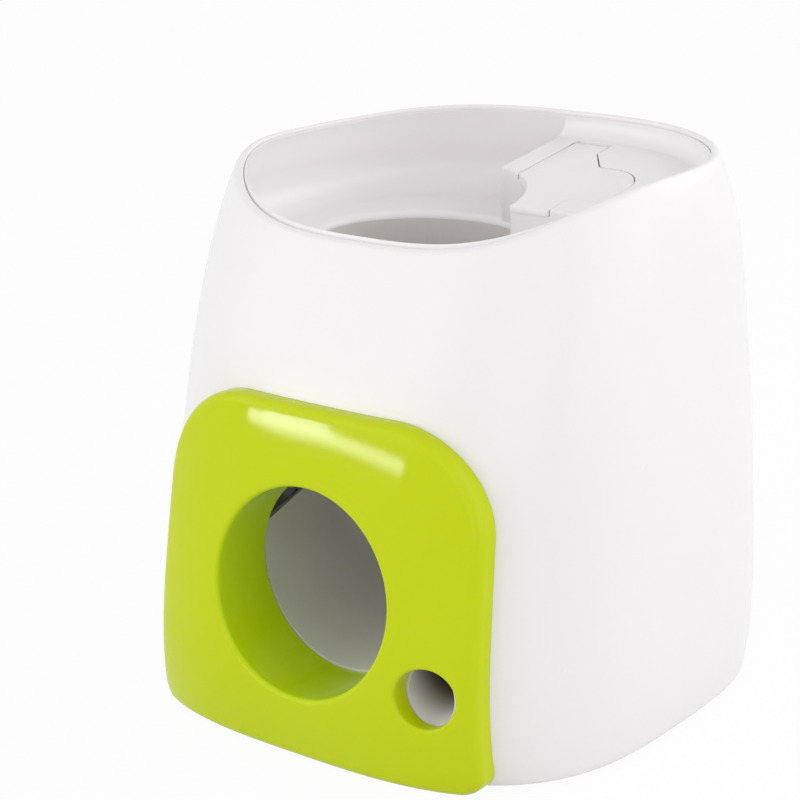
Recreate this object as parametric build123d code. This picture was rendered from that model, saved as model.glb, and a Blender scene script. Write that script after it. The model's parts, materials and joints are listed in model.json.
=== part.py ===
# Drop-in ball and treat dispenser: the ball goes in the dish on top and rolls out of the front.
# Millimetres, +Z up, the front faces -Y.
from build123d import *
from math import atan2, cos, degrees, pi, radians, sin
import os

# Driving sizes of the body
body_height = 194.0
body_half_width = 92.0
wall = 3.0
foot_stand = 1.5
square_power_base = 3.1
square_power_top = 2.87
ring_points = 16

# Clearances
overrun = 30.0
seat_gap = 0.2
piece_gap = 0.3
lid_gap = 0.45
run_gap = 0.05
drum_gap = 0.7

# Body sections: height, side, front and back reach, as shares of the height and the half width
body_section_shares = [
    (-0.062, 0.970, 0.970, 0.970),
    (0.000, 1.000, 1.000, 1.000),
    (0.130, 1.025, 1.023, 1.024),
    (0.310, 1.018, 0.992, 1.011),
    (0.515, 1.002, 0.929, 0.979),
    (0.720, 0.973, 0.829, 0.928),
    (0.870, 0.938, 0.703, 0.883),
    (0.980, 0.870, 0.598, 0.814),
    (1.060, 0.800, 0.510, 0.745),
]
# Rim: place along Y as a share of the half width, height as a share of the body height
rim_shares = [
    (-1.20, 0.735),
    (-0.70, 0.870),
    (-0.50, 0.930),
    (0.00, 0.975),
    (0.50, 0.983),
    (0.80, 1.001),
    (1.20, 1.030),
]
# Dish inside the rim
dish_floor_z = 160.0
dish_round_r = 10.0
dish_side_wall = 2.0
dish_wall = 2.5
dish_edge_drop = 1.2

# Ball path
ball_hole_x = -16.0
ball_hole_y = -6.0
tube_r = 35.5
tube_wall = 2.0
tube_foot_z = 92.0
collar_wall = 2.5
collar_depth = 7.0
slot_width = 14.0
slot_top_z = 124.0
ramp_r = 35.4
ramp_wall = 2.0
ramp_side = 9.0
ramp_back_axis_z = 63.0
ramp_front_axis_z = 57.5
ramp_mouth_y = -71.4
ramp_leg_thick = 6.0
ramp_leg_width = 44.0
ramp_leg_shares = [0.15, 0.80]
ramp_screw_share = 0.36

# Front panel
panel_thick = 6.5
panel_half_width = 68.3
panel_top_half_width = 64.0
panel_top_z = 117.5
panel_foot_z = -1.2
panel_top_r = 36.0
panel_foot_r = 7.0
panel_edge_r = 3.5
exit_r = 35.2
exit_x = 1.0
exit_z = 56.5
sleeve_wall = 2.5
sleeve_back_y = -72.0
treat_hole_r = 10.0
treat_x = 51.0
treat_z = 32.0
panel_boss_r = 3.6
panel_boss_proud = 2.0
panel_boss_places = [(-54.0, 11.0), (54.0, 11.0), (-47.0, 101.0), (47.0, 101.0)]

# Deck, lid and its hinge
deck_z = 174.5
deck_rise = 0.16
deck_thick = 4.4
deck_front_y = -4.5
deck_left_x = -6.0
deck_arc_r = 36.6
skirt_wall = 2.5
skirt_ledge = 3.0
lid_thick = 2.2
lid_nose = 0.6
lid_tab_right_x = 36.0
lid_tab_back_y = 8.0
lid_right_x = 49.0
lid_shoulder_y = 40.0
lid_shoulder_r = 15.0
lid_corner_r = 4.0
tongue_x = 4.5
tongue_width = 14.5
tongue_straight = 8.0
tongue_root_flare = 9.0
hinge_y = 61.0
hinge_barrel_r = 2.8
hinge_lug_r = 3.6
hinge_lug_length = 4.0
hinge_pin_r = 1.5
mouth_edge = 3.5

# Treat hopper, drum and chute
shaft_y = 41.0
shaft_z = 115.0
shaft_r = 3.0
drum_r = 19.5
drum_x = 51.0
drum_length = 27.6
pocket_r = 8.5
pocket_depth_share = 0.82
pocket_lead = 30.0
housing_wall = 2.2
side_plate = 2.0
side_plate_width = 28.0
plate_foot = 10.0
plate_foot_thick = 3.0
hopper_wall = 2.0
hopper_left_x = 29.0
hopper_right_x = 61.0
hopper_front_y = 5.0
hopper_back_y = 48.0
hopper_corner_r = 6.0
hopper_flange = 6.0
hopper_lip = 3.0
hopper_flange_thick = 2.5
hopper_screw_length = 5.5
neck_width = 18.0
neck_depth = 16.0
neck_corner_r = 2.0
neck_top_z = 141.0
hopper_shoulder_z = 163.0
chute_r = 9.0
chute_wall = 1.5
chute_top_y = 13.0
chute_top_z = 92.5
chute_front_inset = 4.0
socket_wall = 2.0
socket_length = 9.0
spout_reach = 18.0

# Lever, counterweight and shaft fittings
hub_r = 7.0
paddle_x = -16.0
paddle_hub_length = 12.0
paddle_width = 10.0
paddle_thick = 3.0
paddle_reach = 35.0
ear_thick = 3.0
ear_half_height = 8.0
ear_gap = 3.0
bush_wall = 2.0
bush_flange_r = 6.5
bush_flange = 1.2
clip_r = 5.5
clip_thick = 1.0
arm_x = 13.0
arm_hub_length = 12.0
arm_width = 8.0
arm_thick = 6.0
weight_reach = 17.0
weight_r = 8.0
weight_length = 24.0
bumper_r = 5.0
bumper_thick = 3.0

# Base, posts, feet and screws
base_thick = 3.0
post_r = 5.0
post_bore_r = 3.1
post_top_z = 150.0
post_web = 3.0
dish_post_places = [(-66.0, 44.0), (-68.0, -22.0), (68.0, -22.0)]
deck_post_place = (30.5, 68.0)
tray_boss_r = 4.5
foot_r = 8.0
foot_depth = 1.0
foot_place = 56.0
boss_r = 6.0
boss_place = 66.0
boss_height = 14.0
screw_r = 1.5
screw_hole_gap = 0.05
screw_length = 11.0
tray_screw_length = 9.0
head_r = 2.8
head_thick = 1.6
head_gap = 0.3
washer_head_r = 3.8

# Values that follow from the sizes above
cut_reach = body_height + body_half_width
all_round = (-cut_reach, cut_reach, -cut_reach, cut_reach)
ramp_outer_r = ramp_r + ramp_wall
tube_outer_r = tube_r + tube_wall
sleeve_outer_r = exit_r + sleeve_wall
chute_outer_r = chute_r + chute_wall
socket_outer_r = chute_outer_r + seat_gap + socket_wall
dish_under_z = dish_floor_z - dish_wall
deck_angle = degrees(atan2(deck_rise, 1))
housing_r = drum_r + drum_gap
housing_outer_r = housing_r + housing_wall
housing_inner = drum_length + 2 * drum_gap
bush_r = shaft_r + run_gap + bush_wall
screw_hole_r = screw_r + screw_hole_gap
post_places = dish_post_places + [deck_post_place]
head_well = head_thick + head_gap


# Shapes used by several pieces
def body_front_y(x, z):
    """The body's front face at a place, from the two nearest sections."""
    for low, high in zip(body_section_shares, body_section_shares[1:]):
        if body_height * low[0] <= z <= body_height * high[0]:
            part = (z / body_height - low[0]) / (high[0] - low[0])
            side, front = [body_half_width * (low[i] + (high[i] - low[i]) * part) for i in (1, 2)]
            power = square_power_base + (square_power_top - square_power_base) * z / body_height
            return -front * (1 - abs(x / side) ** power) ** (1 / power)
    return -cut_reach


chute_end_y = body_front_y(treat_x, treat_z) - panel_thick + chute_front_inset
chute_rise = (chute_top_z - treat_z) / (chute_top_y - chute_end_y)
chute_slope = degrees(atan2(chute_rise, 1))
chute_length = (chute_top_y - chute_end_y) / cos(radians(chute_slope))


def ring(side, front, back, power, height):
    """A rounded-square outline: |x/side|^power + |y/reach|^power = 1, front and back with their own reach."""
    points = []
    for step in range(ring_points):
        angle = 2 * pi * step / ring_points
        reach = back if sin(angle) > 0 else front
        radius = (abs(cos(angle) / side) ** power + abs(sin(angle) / reach) ** power) ** (-1 / power)
        points.append((radius * cos(angle), radius * sin(angle), height))
    return Wire(Spline(*points, periodic=True))


def body_loft(grow):
    """The body's outer form, grown sideways by the given amount and running past both ends."""
    rings = []
    for height_share, side, front, back in body_section_shares:
        power = square_power_base + (square_power_top - square_power_base) * height_share
        reaches = [body_half_width * share + grow for share in (side, front, back)]
        rings.append(ring(*reaches, power, body_height * height_share))
    return Solid.make_loft(rings)


def basin(grow, floor, radius):
    """The body's form above a floor, with a round between the floor and the sides."""
    form = body_loft(grow) & block(*all_round, floor, cut_reach)
    return fillet(form.edges().group_by(Axis.Z)[0], radius)


def above_rim(drop):
    """Everything above the rim line, lowered by the given amount."""
    line = [(body_half_width * y, body_height * z - drop) for y, z in rim_shares]
    edge = Spline(*line)
    high = body_height + body_half_width
    closing = Polyline(line[-1], (line[-1][0], high), (line[0][0], high), line[0])
    face = Plane.YZ * make_face([edge, closing])
    return extrude(face, amount=cut_reach, both=True)


def block(x0, x1, y0, y1, z0, z1):
    """A box between two corners."""
    middle = Pos((x0 + x1) / 2, (y0 + y1) / 2, (z0 + z1) / 2)
    return middle * Box(x1 - x0, y1 - y0, z1 - z0)


def rod_x(radius, x0, x1, y, z):
    """A round rod along X."""
    return Pos((x0 + x1) / 2, y, z) * Rot(0, 90, 0) * Cylinder(radius, x1 - x0)


def rod_y(radius, y0, y1, x, z):
    """A round rod along Y."""
    return Pos(x, (y0 + y1) / 2, z) * Rot(90, 0, 0) * Cylinder(radius, y1 - y0)


def rod_z(radius, z0, z1, x, y):
    """A round rod along Z."""
    return Pos(x, y, (z0 + z1) / 2) * Cylinder(radius, z1 - z0)


def prism(face, z0, z1):
    """A plan outline drawn up between two heights."""
    return Pos(0, 0, z0) * extrude(face, amount=z1 - z0)


def deck_slab(top, bottom):
    """A slab along the sloping deck, between two depths below its surface (negative is above)."""
    place = Pos(0, 0, deck_z) * Rot(deck_angle, 0, 0)
    return place * Pos(0, 0, -(top + bottom) / 2) * Box(2 * cut_reach, 2 * cut_reach, bottom - top)


def chute_rod(radius, start, end):
    """A round rod along the sloping chute's axis, measured forward from the chute's upper end."""
    place = Pos(treat_x, chute_top_y, chute_top_z) * Rot(90 + chute_slope, 0, 0)
    return place * Pos(0, 0, (start + end) / 2) * Cylinder(radius, end - start)


def screw(length, radius):
    """A pan-head screw standing on its head, pointing up, its seat at height zero."""
    return rod_z(radius, -head_thick, 0, 0, 0) + rod_z(screw_r, -head_thick / 2, length, 0, 0)


def panel_boss_end(x, z):
    """Where the panel's bosses end, just inside the shell's wall."""
    return body_front_y(x, z) + wall + panel_boss_proud


body_form = body_loft(0)
inner_room = body_loft(-wall - piece_gap)
corner_signs = [(x, y) for x in (-1, 1) for y in (-1, 1)]
boss_spots = [(x * boss_place, y * boss_place) for x, y in corner_signs]
foot_spots = [(x * foot_place, y * foot_place) for x, y in corner_signs]
pieces = {}


# Outer shell: one hollow moulding, open at the top and the bottom
def outer_shell():
    bosses = []
    for (x, y), spot in zip(corner_signs, boss_spots):
        lie = Pos(*spot) * Rot(0, 0, degrees(atan2(y, x))) * Pos(boss_r, 0)
        slot = lie * SlotCenterToCenter(2 * boss_r, 2 * boss_r)
        bosses.append(prism(slot, base_thick, base_thick + boss_height) & body_form)
    shell = body_form - body_loft(-wall) + bosses
    cuts = [rod_z(screw_hole_r, 0, screw_length + base_thick, *spot) for spot in boss_spots]
    cuts.append(block(*all_round, -overrun, 0))
    cuts.append(above_rim(0))
    cuts.append(rod_y(sleeve_outer_r + piece_gap, -cut_reach, sleeve_back_y, exit_x, exit_z))
    cuts.append(chute_rod(socket_outer_r + piece_gap, chute_length / 2, chute_length + overrun))
    for x, z in panel_boss_places:
        cuts.append(rod_y(panel_boss_r + piece_gap, -cut_reach, panel_boss_end(x, z) + overrun, x, z))
    return shell - cuts


pieces["outer_shell"] = outer_shell()


# Front panel: follows the leaning front, with the ball exit's sleeve and the chute's socket
def is_front(point):
    """True for a point nearer to the panel's front face than to its back."""
    return point.Y < body_front_y(point.X, point.Z) - panel_thick / 2


def front_panel():
    outline = make_face(Polyline((-panel_half_width, panel_foot_z), (panel_half_width, panel_foot_z),
                                 (panel_top_half_width, panel_top_z), (-panel_top_half_width, panel_top_z),
                                 close=True))
    outline = fillet(outline.vertices().sort_by(Axis.Y)[2:], panel_top_r)
    outline = fillet(outline.vertices().sort_by(Axis.Y)[:2], panel_foot_r)
    outer = body_loft(panel_thick)
    panel = (outer & extrude(Plane.XZ * outline, amount=cut_reach)) - body_loft(seat_gap)
    edges = [edge for edge in panel.edges() if is_front(edge @ 0.5)]
    panel = fillet(edges, panel_edge_r)
    sleeve = rod_y(sleeve_outer_r, -cut_reach, sleeve_back_y, exit_x, exit_z) & outer
    socket = chute_rod(socket_outer_r, chute_length - socket_length, chute_length + overrun) & outer
    bosses = []
    cuts = []
    for x, z in panel_boss_places:
        end = panel_boss_end(x, z)
        bosses.append(rod_y(panel_boss_r, body_front_y(x, z) - panel_thick / 2, end, x, z))
        cuts.append(rod_y(screw_hole_r, body_front_y(x, z) - panel_thick / 2, end, x, z))
    cuts.append(rod_y(exit_r, -cut_reach, sleeve_back_y + overrun, exit_x, exit_z))
    cuts.append(rod_y(treat_hole_r, -cut_reach, chute_end_y, treat_x, treat_z))
    cuts.append(chute_rod(chute_outer_r + seat_gap, 0, chute_length + overrun) - block(
        -cut_reach, cut_reach, -cut_reach, chute_end_y, -cut_reach, cut_reach))
    return panel + [sleeve, socket, *bosses] - cuts


pieces["front_panel"] = front_panel()


# Base cover, with the posts that carry the tray and the stop of the lever
def base_cover():
    low = block(*all_round, 0, base_thick)
    plate = inner_room & low
    posts = [rod_z(post_r, 0, post_top_z, *spot) for spot in post_places]
    posts.append(rod_z(post_r, 0, stop_top_z, arm_x, shaft_y + weight_reach))
    cuts = []
    for spot in post_places:
        cuts.append(rod_z(post_bore_r, -overrun, post_top_z - post_web, *spot))
        cuts.append(rod_z(screw_hole_r, -overrun, post_top_z + overrun, *spot))
    for spot in foot_spots:
        cuts.append(rod_z(foot_r + seat_gap, -overrun, foot_depth, *spot))
    for spot in boss_spots + ramp_screw_spots() + housing_screw_spots():
        cuts.append(rod_z(head_r + head_gap, -overrun, head_well, *spot))
        cuts.append(rod_z(screw_hole_r, -overrun, base_thick + overrun, *spot))
    return plate + posts - cuts


def ramp_place(share):
    """A point of the ramp's axis, from its back end (0) to its mouth (1)."""
    x = ball_hole_x + (exit_x - ball_hole_x) * share
    y = ball_hole_y + (ramp_mouth_y - ball_hole_y) * share
    z = ramp_back_axis_z + (ramp_front_axis_z - ramp_back_axis_z) * share
    return Vector(x, y, z)


def ramp_screw_spots():
    spots = []
    for share in ramp_leg_shares:
        middle = ramp_place(share)
        for side in (-1, 1):
            spots.append((middle.X + side * ramp_leg_width * ramp_screw_share, middle.Y))
    return spots


def housing_screw_spots():
    spots = []
    for side in (-1, 1):
        x = drum_x + side * (housing_inner / 2 + side_plate + plate_foot / 2)
        for along in (-1, 1):
            spots.append((x, shaft_y + along * side_plate_width / 4))
    return spots


stop_top_z = shaft_z - weight_r - piece_gap - bumper_thick
pieces["base_cover"] = base_cover()
pieces["rubber_feet"] = Compound([rod_z(foot_r, -foot_stand, foot_depth, *spot) for spot in foot_spots])
pieces["stop_bumper"] = rod_z(bumper_r, stop_top_z, stop_top_z + bumper_thick, arm_x, shaft_y + weight_reach)


# Dish with the ball hole, and the raised deck in it with the lid's recess and the lugs of its hinge
def hole_disc(radius):
    return Pos(ball_hole_x, ball_hole_y) * Circle(radius)


def deck_outline(inset):
    """Plan of the deck: right of and behind the ball hole, with an arc round the hole."""
    front = deck_front_y + inset
    left = deck_left_x + inset
    corner = make_face(Polyline((left, front), (cut_reach, front), (cut_reach, cut_reach), (left, cut_reach),
                                close=True))
    return corner - hole_disc(deck_arc_r + inset)


def lid_outline(grow):
    """Plan of the lid: a finger tab in front, a round shoulder at the right, a tongue to the hinge."""
    front = deck_front_y - lid_nose
    shoulder_end = tongue_right_x + tongue_root_flare
    plan = make_face(Polyline(
        (tongue_x, front),
        (lid_tab_right_x, front),
        (lid_tab_right_x, lid_tab_back_y),
        (lid_right_x, lid_tab_back_y),
        (lid_right_x, lid_shoulder_y),
        (shoulder_end, lid_shoulder_y),
        (tongue_right_x, hinge_y - tongue_straight),
        (tongue_right_x, hinge_y),
        (tongue_x, hinge_y),
        close=True,
    ))
    plan = plan - hole_disc(deck_arc_r + seat_gap)
    rounds = [
        (lid_right_x, lid_shoulder_y, lid_shoulder_r),
        (lid_right_x, lid_tab_back_y, lid_corner_r),
        (lid_tab_right_x, lid_tab_back_y, lid_corner_r),
        (shoulder_end, lid_shoulder_y, lid_corner_r),
    ]
    for x, y, radius in rounds:
        plan = fillet(plan.vertices().sort_by_distance((x, y))[0], radius)
    return offset(plan, amount=grow) if grow else plan


def on_deck(x, y, depth):
    """A place on the sloping deck, its Z square to the deck."""
    return Pos(0, 0, deck_z) * Rot(deck_angle, 0, 0) * Pos(x, y / cos(radians(deck_angle)), -depth)


tongue_right_x = tongue_x + tongue_width
hinge_z = deck_z + deck_rise * hinge_y - hinge_barrel_r / cos(radians(deck_angle))
lug_ends = (tongue_x - lid_gap - hinge_lug_length, tongue_right_x + lid_gap + hinge_lug_length)
pin_ends = (lug_ends[0] + hinge_lug_length / 4, lug_ends[1] - hinge_lug_length / 4)
hopper_screw_spots = [
    (hopper_right_x + hopper_flange / 2, hopper_front_y + hopper_corner_r),
    (hopper_right_x + hopper_flange / 2, hopper_back_y - hopper_corner_r),
    (hopper_left_x + hopper_corner_r, hopper_back_y + hopper_flange / 2),
    (hopper_right_x - hopper_corner_r, hopper_back_y + hopper_flange / 2),
]


def tray_boss(x, y, top):
    """A boss from a post's top up into the dish's floor or the deck, bored for its screw."""
    boss = rod_z(tray_boss_r, post_top_z, top, x, y)
    return boss - rod_z(screw_hole_r, post_top_z, post_top_z - post_web + tray_screw_length + head_gap, x, y)


def below_deck(inset):
    """The room under the deck, inset from its outline."""
    return prism(deck_outline(inset), 0, cut_reach) & deck_slab(deck_thick, cut_reach)


def funnel_tray():
    outer = basin(-wall - piece_gap, dish_under_z, dish_round_r + dish_side_wall)
    inner = basin(-wall - piece_gap - dish_side_wall, dish_floor_z, dish_round_r)
    collar_r = tube_outer_r + seat_gap + collar_wall
    collar = rod_z(collar_r, dish_under_z - collar_depth, dish_floor_z, ball_hole_x, ball_hole_y)
    bosses = [tray_boss(*spot, dish_floor_z + dish_round_r) for spot in dish_post_places]
    cuts = [
        above_rim(dish_edge_drop),
        rod_z(tube_outer_r + seat_gap, 0, dish_floor_z + overrun, ball_hole_x, ball_hole_y),
    ]
    return outer + [collar, *bosses] - inner - below_deck(skirt_wall + skirt_ledge) - cuts


def hopper_deck():
    room = basin(-wall - piece_gap - dish_side_wall - seat_gap, dish_floor_z + seat_gap, dish_round_r)
    deck = (prism(deck_outline(0), 0, cut_reach) & deck_slab(0, cut_reach)) - below_deck(skirt_wall)
    lugs = rod_x(hinge_lug_r, *lug_ends, hinge_y, hinge_z) & deck_slab(0, cut_reach)
    boss_top = deck_z + deck_rise * deck_post_place[1] - deck_thick / cos(radians(deck_angle))
    hinge_room = hinge_barrel_r + lid_gap
    mouth_left = hopper_left_x + hopper_wall
    mouth_right = lid_right_x - mouth_edge
    mouth_depth = lid_shoulder_y - lid_tab_back_y - 2 * mouth_edge
    mouth = Pos((mouth_left + mouth_right) / 2, (lid_tab_back_y + lid_shoulder_y) / 2)
    mouth *= RectangleRounded(mouth_right - mouth_left, mouth_depth, mouth_edge)
    cuts = [
        prism(lid_outline(lid_gap), dish_floor_z, cut_reach) & deck_slab(-overrun, lid_thick),
        prism(mouth, dish_floor_z, cut_reach),
        block(tongue_x - lid_gap, tongue_right_x + lid_gap, hinge_y - 2 * hinge_room, hinge_y + hinge_room,
              dish_floor_z, cut_reach),
        rod_x(hinge_pin_r + run_gap, *pin_ends, hinge_y, hinge_z),
    ]
    cuts += [on_deck(*spot, deck_thick) * rod_z(screw_hole_r, 0, hopper_screw_length - hopper_flange_thick, 0, 0)
             for spot in hopper_screw_spots]
    return (deck & room) + [lugs, tray_boss(*deck_post_place, boss_top)] - cuts


pieces["funnel_tray"] = funnel_tray()
pieces["hopper_deck"] = hopper_deck()


# Lid of the treat hopper and its hinge pin
def hopper_lid():
    plate = prism(lid_outline(0), dish_floor_z, cut_reach) & deck_slab(0, lid_thick)
    barrel = rod_x(hinge_barrel_r, tongue_x, tongue_right_x, hinge_y, hinge_z)
    return plate + barrel - rod_x(hinge_pin_r + run_gap, *lug_ends, hinge_y, hinge_z)


pieces["hopper_lid"] = hopper_lid()
pieces["lid_hinge_pin"] = rod_x(hinge_pin_r, pin_ends[0] + run_gap, pin_ends[1] - run_gap, hinge_y, hinge_z)


# Drop tube: lines the dish's hole, and has the lever's slot and an ear for the shaft
ear_ends = (paddle_x - paddle_hub_length / 2 - ear_gap - ear_thick, paddle_x - paddle_hub_length / 2 - ear_gap)


def drop_tube():
    tube = rod_z(tube_outer_r, tube_foot_z, dish_floor_z, ball_hole_x, ball_hole_y)
    ear = block(*ear_ends, ball_hole_y, shaft_y, shaft_z - ear_half_height, shaft_z + ear_half_height)
    ear += rod_x(ear_half_height, *ear_ends, shaft_y, shaft_z)
    cuts = [
        rod_z(tube_r, 0, cut_reach, ball_hole_x, ball_hole_y),
        block(paddle_x - slot_width / 2, paddle_x + slot_width / 2, ball_hole_y, shaft_y, 0, slot_top_z),
        rod_x(bush_r + run_gap, ear_ends[0] - overrun, ear_ends[1] + overrun, shaft_y, shaft_z),
    ]
    return tube + ear - cuts


pieces["drop_tube"] = drop_tube()


# Ball ramp: a sloping trough with a round end under the drop tube
def trough(radius, high):
    """A trough of the given radius: straight to the mouth, with a round end, its sides going up to a height."""
    back = ramp_place(0)
    run = ramp_place(1) - back
    profile = Circle(radius) + Pos(0, high / 2) * Rectangle(2 * radius, high)
    profile -= Pos(0, high + cut_reach / 2) * Rectangle(cut_reach, cut_reach)
    plane = Plane(origin=back, x_dir=(1, 0, 0), z_dir=(0, -1, 0))
    straight = Solid.extrude((plane * profile).face(), run)
    end = Pos(*back) * Sphere(radius) + rod_z(radius, back.Z, back.Z + high, back.X, back.Y)
    end -= block(*all_round, back.Z + high, back.Z + high + cut_reach)
    return straight + end


def ball_ramp():
    legs = []
    for share in ramp_leg_shares:
        middle = ramp_place(share)
        legs.append(block(middle.X - ramp_leg_width / 2, middle.X + ramp_leg_width / 2,
                          middle.Y - ramp_leg_thick / 2, middle.Y + ramp_leg_thick / 2, base_thick, middle.Z))
    cuts = [rod_z(screw_hole_r, 0, head_well + screw_length + head_gap, *spot) for spot in ramp_screw_spots()]
    cuts.append(block(-cut_reach, cut_reach, -cut_reach, ramp_mouth_y, 0, cut_reach))
    return trough(ramp_outer_r, ramp_side) + legs - trough(ramp_r, ramp_side + overrun) - cuts


pieces["ball_ramp"] = ball_ramp()


# Treat hopper under the deck
def hopper_room(inset):
    """The hopper's form from its top to its neck, inset by the given amount."""
    width = hopper_right_x - hopper_left_x - 2 * inset
    depth = hopper_back_y - hopper_front_y - 2 * inset
    middle = Pos((hopper_left_x + hopper_right_x) / 2, (hopper_front_y + hopper_back_y) / 2)
    top = middle * RectangleRounded(width, depth, hopper_corner_r - inset)
    wide = neck_width + 2 * (hopper_wall - inset)
    deep = neck_depth + 2 * (hopper_wall - inset)
    neck = Pos(drum_x, shaft_y) * RectangleRounded(wide, deep, neck_corner_r + hopper_wall - inset)
    funnel = loft([Pos(0, 0, neck_top_z) * neck, Pos(0, 0, hopper_shoulder_z) * top])
    return funnel + prism(top, hopper_shoulder_z, cut_reach) + prism(neck, shaft_z, neck_top_z)


def treat_hopper():
    flange_box = (hopper_left_x - hopper_lip, hopper_right_x + hopper_flange,
                  hopper_front_y - hopper_lip, hopper_back_y + hopper_flange)
    flange = block(*flange_box, 0, cut_reach) & deck_slab(deck_thick, deck_thick + hopper_flange_thick)
    hopper = (hopper_room(0) & deck_slab(deck_thick, cut_reach)) + flange
    cuts = [hopper_room(hopper_wall),
            rod_x(housing_r, -cut_reach, cut_reach, shaft_y, shaft_z)]
    cuts += [on_deck(*spot, deck_thick) * rod_z(screw_hole_r, -overrun / 2, 0, 0, 0)
             for spot in hopper_screw_spots]
    return hopper - cuts


pieces["treat_hopper"] = treat_hopper()


# Drum housing on two side plates, with the spout that takes the chute
plate_places = [drum_x - housing_inner / 2 - side_plate, drum_x + housing_inner / 2]
bush_ends = [ear_ends[0], plate_places[0], plate_places[1] + side_plate]


def drum_housing():
    ends = (plate_places[0], plate_places[1] + side_plate)
    body = rod_x(housing_outer_r, *ends, shaft_y, shaft_z) + chute_rod(socket_outer_r, -spout_reach, socket_length)
    for side, x in zip((-1, 1), plate_places):
        along = (shaft_y - side_plate_width / 2, shaft_y + side_plate_width / 2)
        body += block(x, x + side_plate, *along, base_thick, shaft_z)
        foot = (x - plate_foot, x) if side < 0 else (x + side_plate, x + side_plate + plate_foot)
        body += block(*foot, *along, base_thick, base_thick + plate_foot_thick)
    neck_half_x = neck_width / 2 + hopper_wall + piece_gap
    neck_half_y = neck_depth / 2 + hopper_wall + piece_gap
    cuts = [
        rod_x(housing_r, plate_places[0] + side_plate, plate_places[1], shaft_y, shaft_z),
        chute_rod(chute_r, -spout_reach + socket_wall, overrun),
        chute_rod(chute_outer_r + seat_gap, -seat_gap, overrun),
        block(drum_x - neck_half_x, drum_x + neck_half_x, shaft_y - neck_half_y, shaft_y + neck_half_y,
              shaft_z, shaft_z + overrun),
        rod_x(bush_r + run_gap, ends[0] - overrun, ends[1] + overrun, shaft_y, shaft_z),
    ]
    cuts += [rod_z(screw_hole_r, 0, overrun, *spot) for spot in housing_screw_spots()]
    return body - cuts


pieces["drum_housing"] = drum_housing()
pieces["treat_chute"] = (chute_rod(chute_outer_r, 0, chute_length + overrun)
                         - chute_rod(chute_r, -overrun, chute_length + 2 * overrun)
                         - block(-cut_reach, cut_reach, -cut_reach, chute_end_y, -cut_reach, cut_reach))


# Shaft with the drum, the lever and the counterweight, turning together
def on_shaft(piece):
    """Bore a piece for the shaft."""
    return piece - rod_x(shaft_r + run_gap, -cut_reach, cut_reach, shaft_y, shaft_z)


def treat_drum():
    ends = (drum_x - drum_length / 2, drum_x + drum_length / 2)
    angle = radians(pocket_lead)
    reach = drum_r * pocket_depth_share
    rim = (ends[1] - ends[0] - neck_width) / 2
    pocket = rod_x(pocket_r, ends[0] + rim, ends[1] - rim, shaft_y - reach * sin(angle), shaft_z + reach * cos(angle))
    return on_shaft(rod_x(drum_r, *ends, shaft_y, shaft_z) - pocket)


def trip_paddle():
    half = paddle_hub_length / 2
    hub = rod_x(hub_r, paddle_x - half, paddle_x + half, shaft_y, shaft_z)
    arm = block(paddle_x - paddle_width / 2, paddle_x + paddle_width / 2, shaft_y - paddle_reach, shaft_y,
                shaft_z - paddle_thick / 2, shaft_z + paddle_thick / 2)
    tip = arm.edges().filter_by(Axis.Z).group_by(Axis.Y)[0]
    return on_shaft(fillet(tip, paddle_width / 3) + hub)


def arm_bar(gap):
    half = (arm_width / 2 + gap, arm_thick / 2 + gap)
    return block(arm_x - half[0], arm_x + half[0], shaft_y, shaft_y + weight_reach + gap,
                 shaft_z - half[1], shaft_z + half[1])


def weight_arm():
    half = arm_hub_length / 2
    return on_shaft(rod_x(hub_r, arm_x - half, arm_x + half, shaft_y, shaft_z) + arm_bar(0))


def counterweight():
    half = weight_length / 2
    return rod_x(weight_r, arm_x - half, arm_x + half, shaft_y + weight_reach, shaft_z) - arm_bar(run_gap)


shaft_out = bush_flange + clip_thick + piece_gap + clip_r / 4
pieces["trip_shaft"] = rod_x(shaft_r, bush_ends[0] - shaft_out, bush_ends[2] + shaft_out, shaft_y, shaft_z)
pieces["treat_drum"] = treat_drum()
pieces["trip_paddle"] = trip_paddle()
pieces["weight_arm"] = weight_arm()
pieces["counterweight"] = counterweight()


def bush(x, inward, length):
    """A flanged bush: its flange against the plate's outer face at x, its sleeve through the plate."""
    sleeve = sorted((x, x + inward * length))
    flange = sorted((x, x - inward * bush_flange))
    body = rod_x(bush_r, *sleeve, shaft_y, shaft_z) + rod_x(bush_flange_r, *flange, shaft_y, shaft_z)
    return on_shaft(body)


def shaft_clip(x0, x1):
    return on_shaft(rod_x(clip_r, x0, x1, shaft_y, shaft_z))


bushes = [bush(bush_ends[0], 1, ear_thick), bush(bush_ends[1], 1, side_plate), bush(bush_ends[2], -1, side_plate)]
pieces["shaft_bushes"] = Compound(bushes)
clip_left = bush_ends[0] - bush_flange - piece_gap
clip_right = bush_ends[2] + bush_flange + piece_gap
pieces["shaft_clips"] = Compound([
    shaft_clip(clip_left - clip_thick, clip_left),
    shaft_clip(clip_right, clip_right + clip_thick),
])


# Screws
def screws_up(spots, seat, length):
    return Compound([Pos(x, y, seat) * screw(length, head_r) for x, y in spots])


pieces["base_screws"] = screws_up(boss_spots, head_well, screw_length)
pieces["ramp_screws"] = screws_up(ramp_screw_spots(), head_well, screw_length)
pieces["housing_screws"] = screws_up(housing_screw_spots(), head_well, base_thick + plate_foot_thick - head_well)
pieces["tray_screws"] = screws_up(post_places, post_top_z - post_web, tray_screw_length)
hopper_seat = deck_thick + hopper_flange_thick
pieces["hopper_screws"] = Compound([on_deck(*spot, hopper_seat) * screw(hopper_screw_length, head_r)
                                    for spot in hopper_screw_spots])
panel_screws = []
for x, z in panel_boss_places:
    end = panel_boss_end(x, z)
    panel_screws.append(Pos(x, end, z) * Rot(90, 0, 0) * screw(end - body_front_y(x, z), washer_head_r))
pieces["panel_screws"] = Compound(panel_screws)

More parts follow.
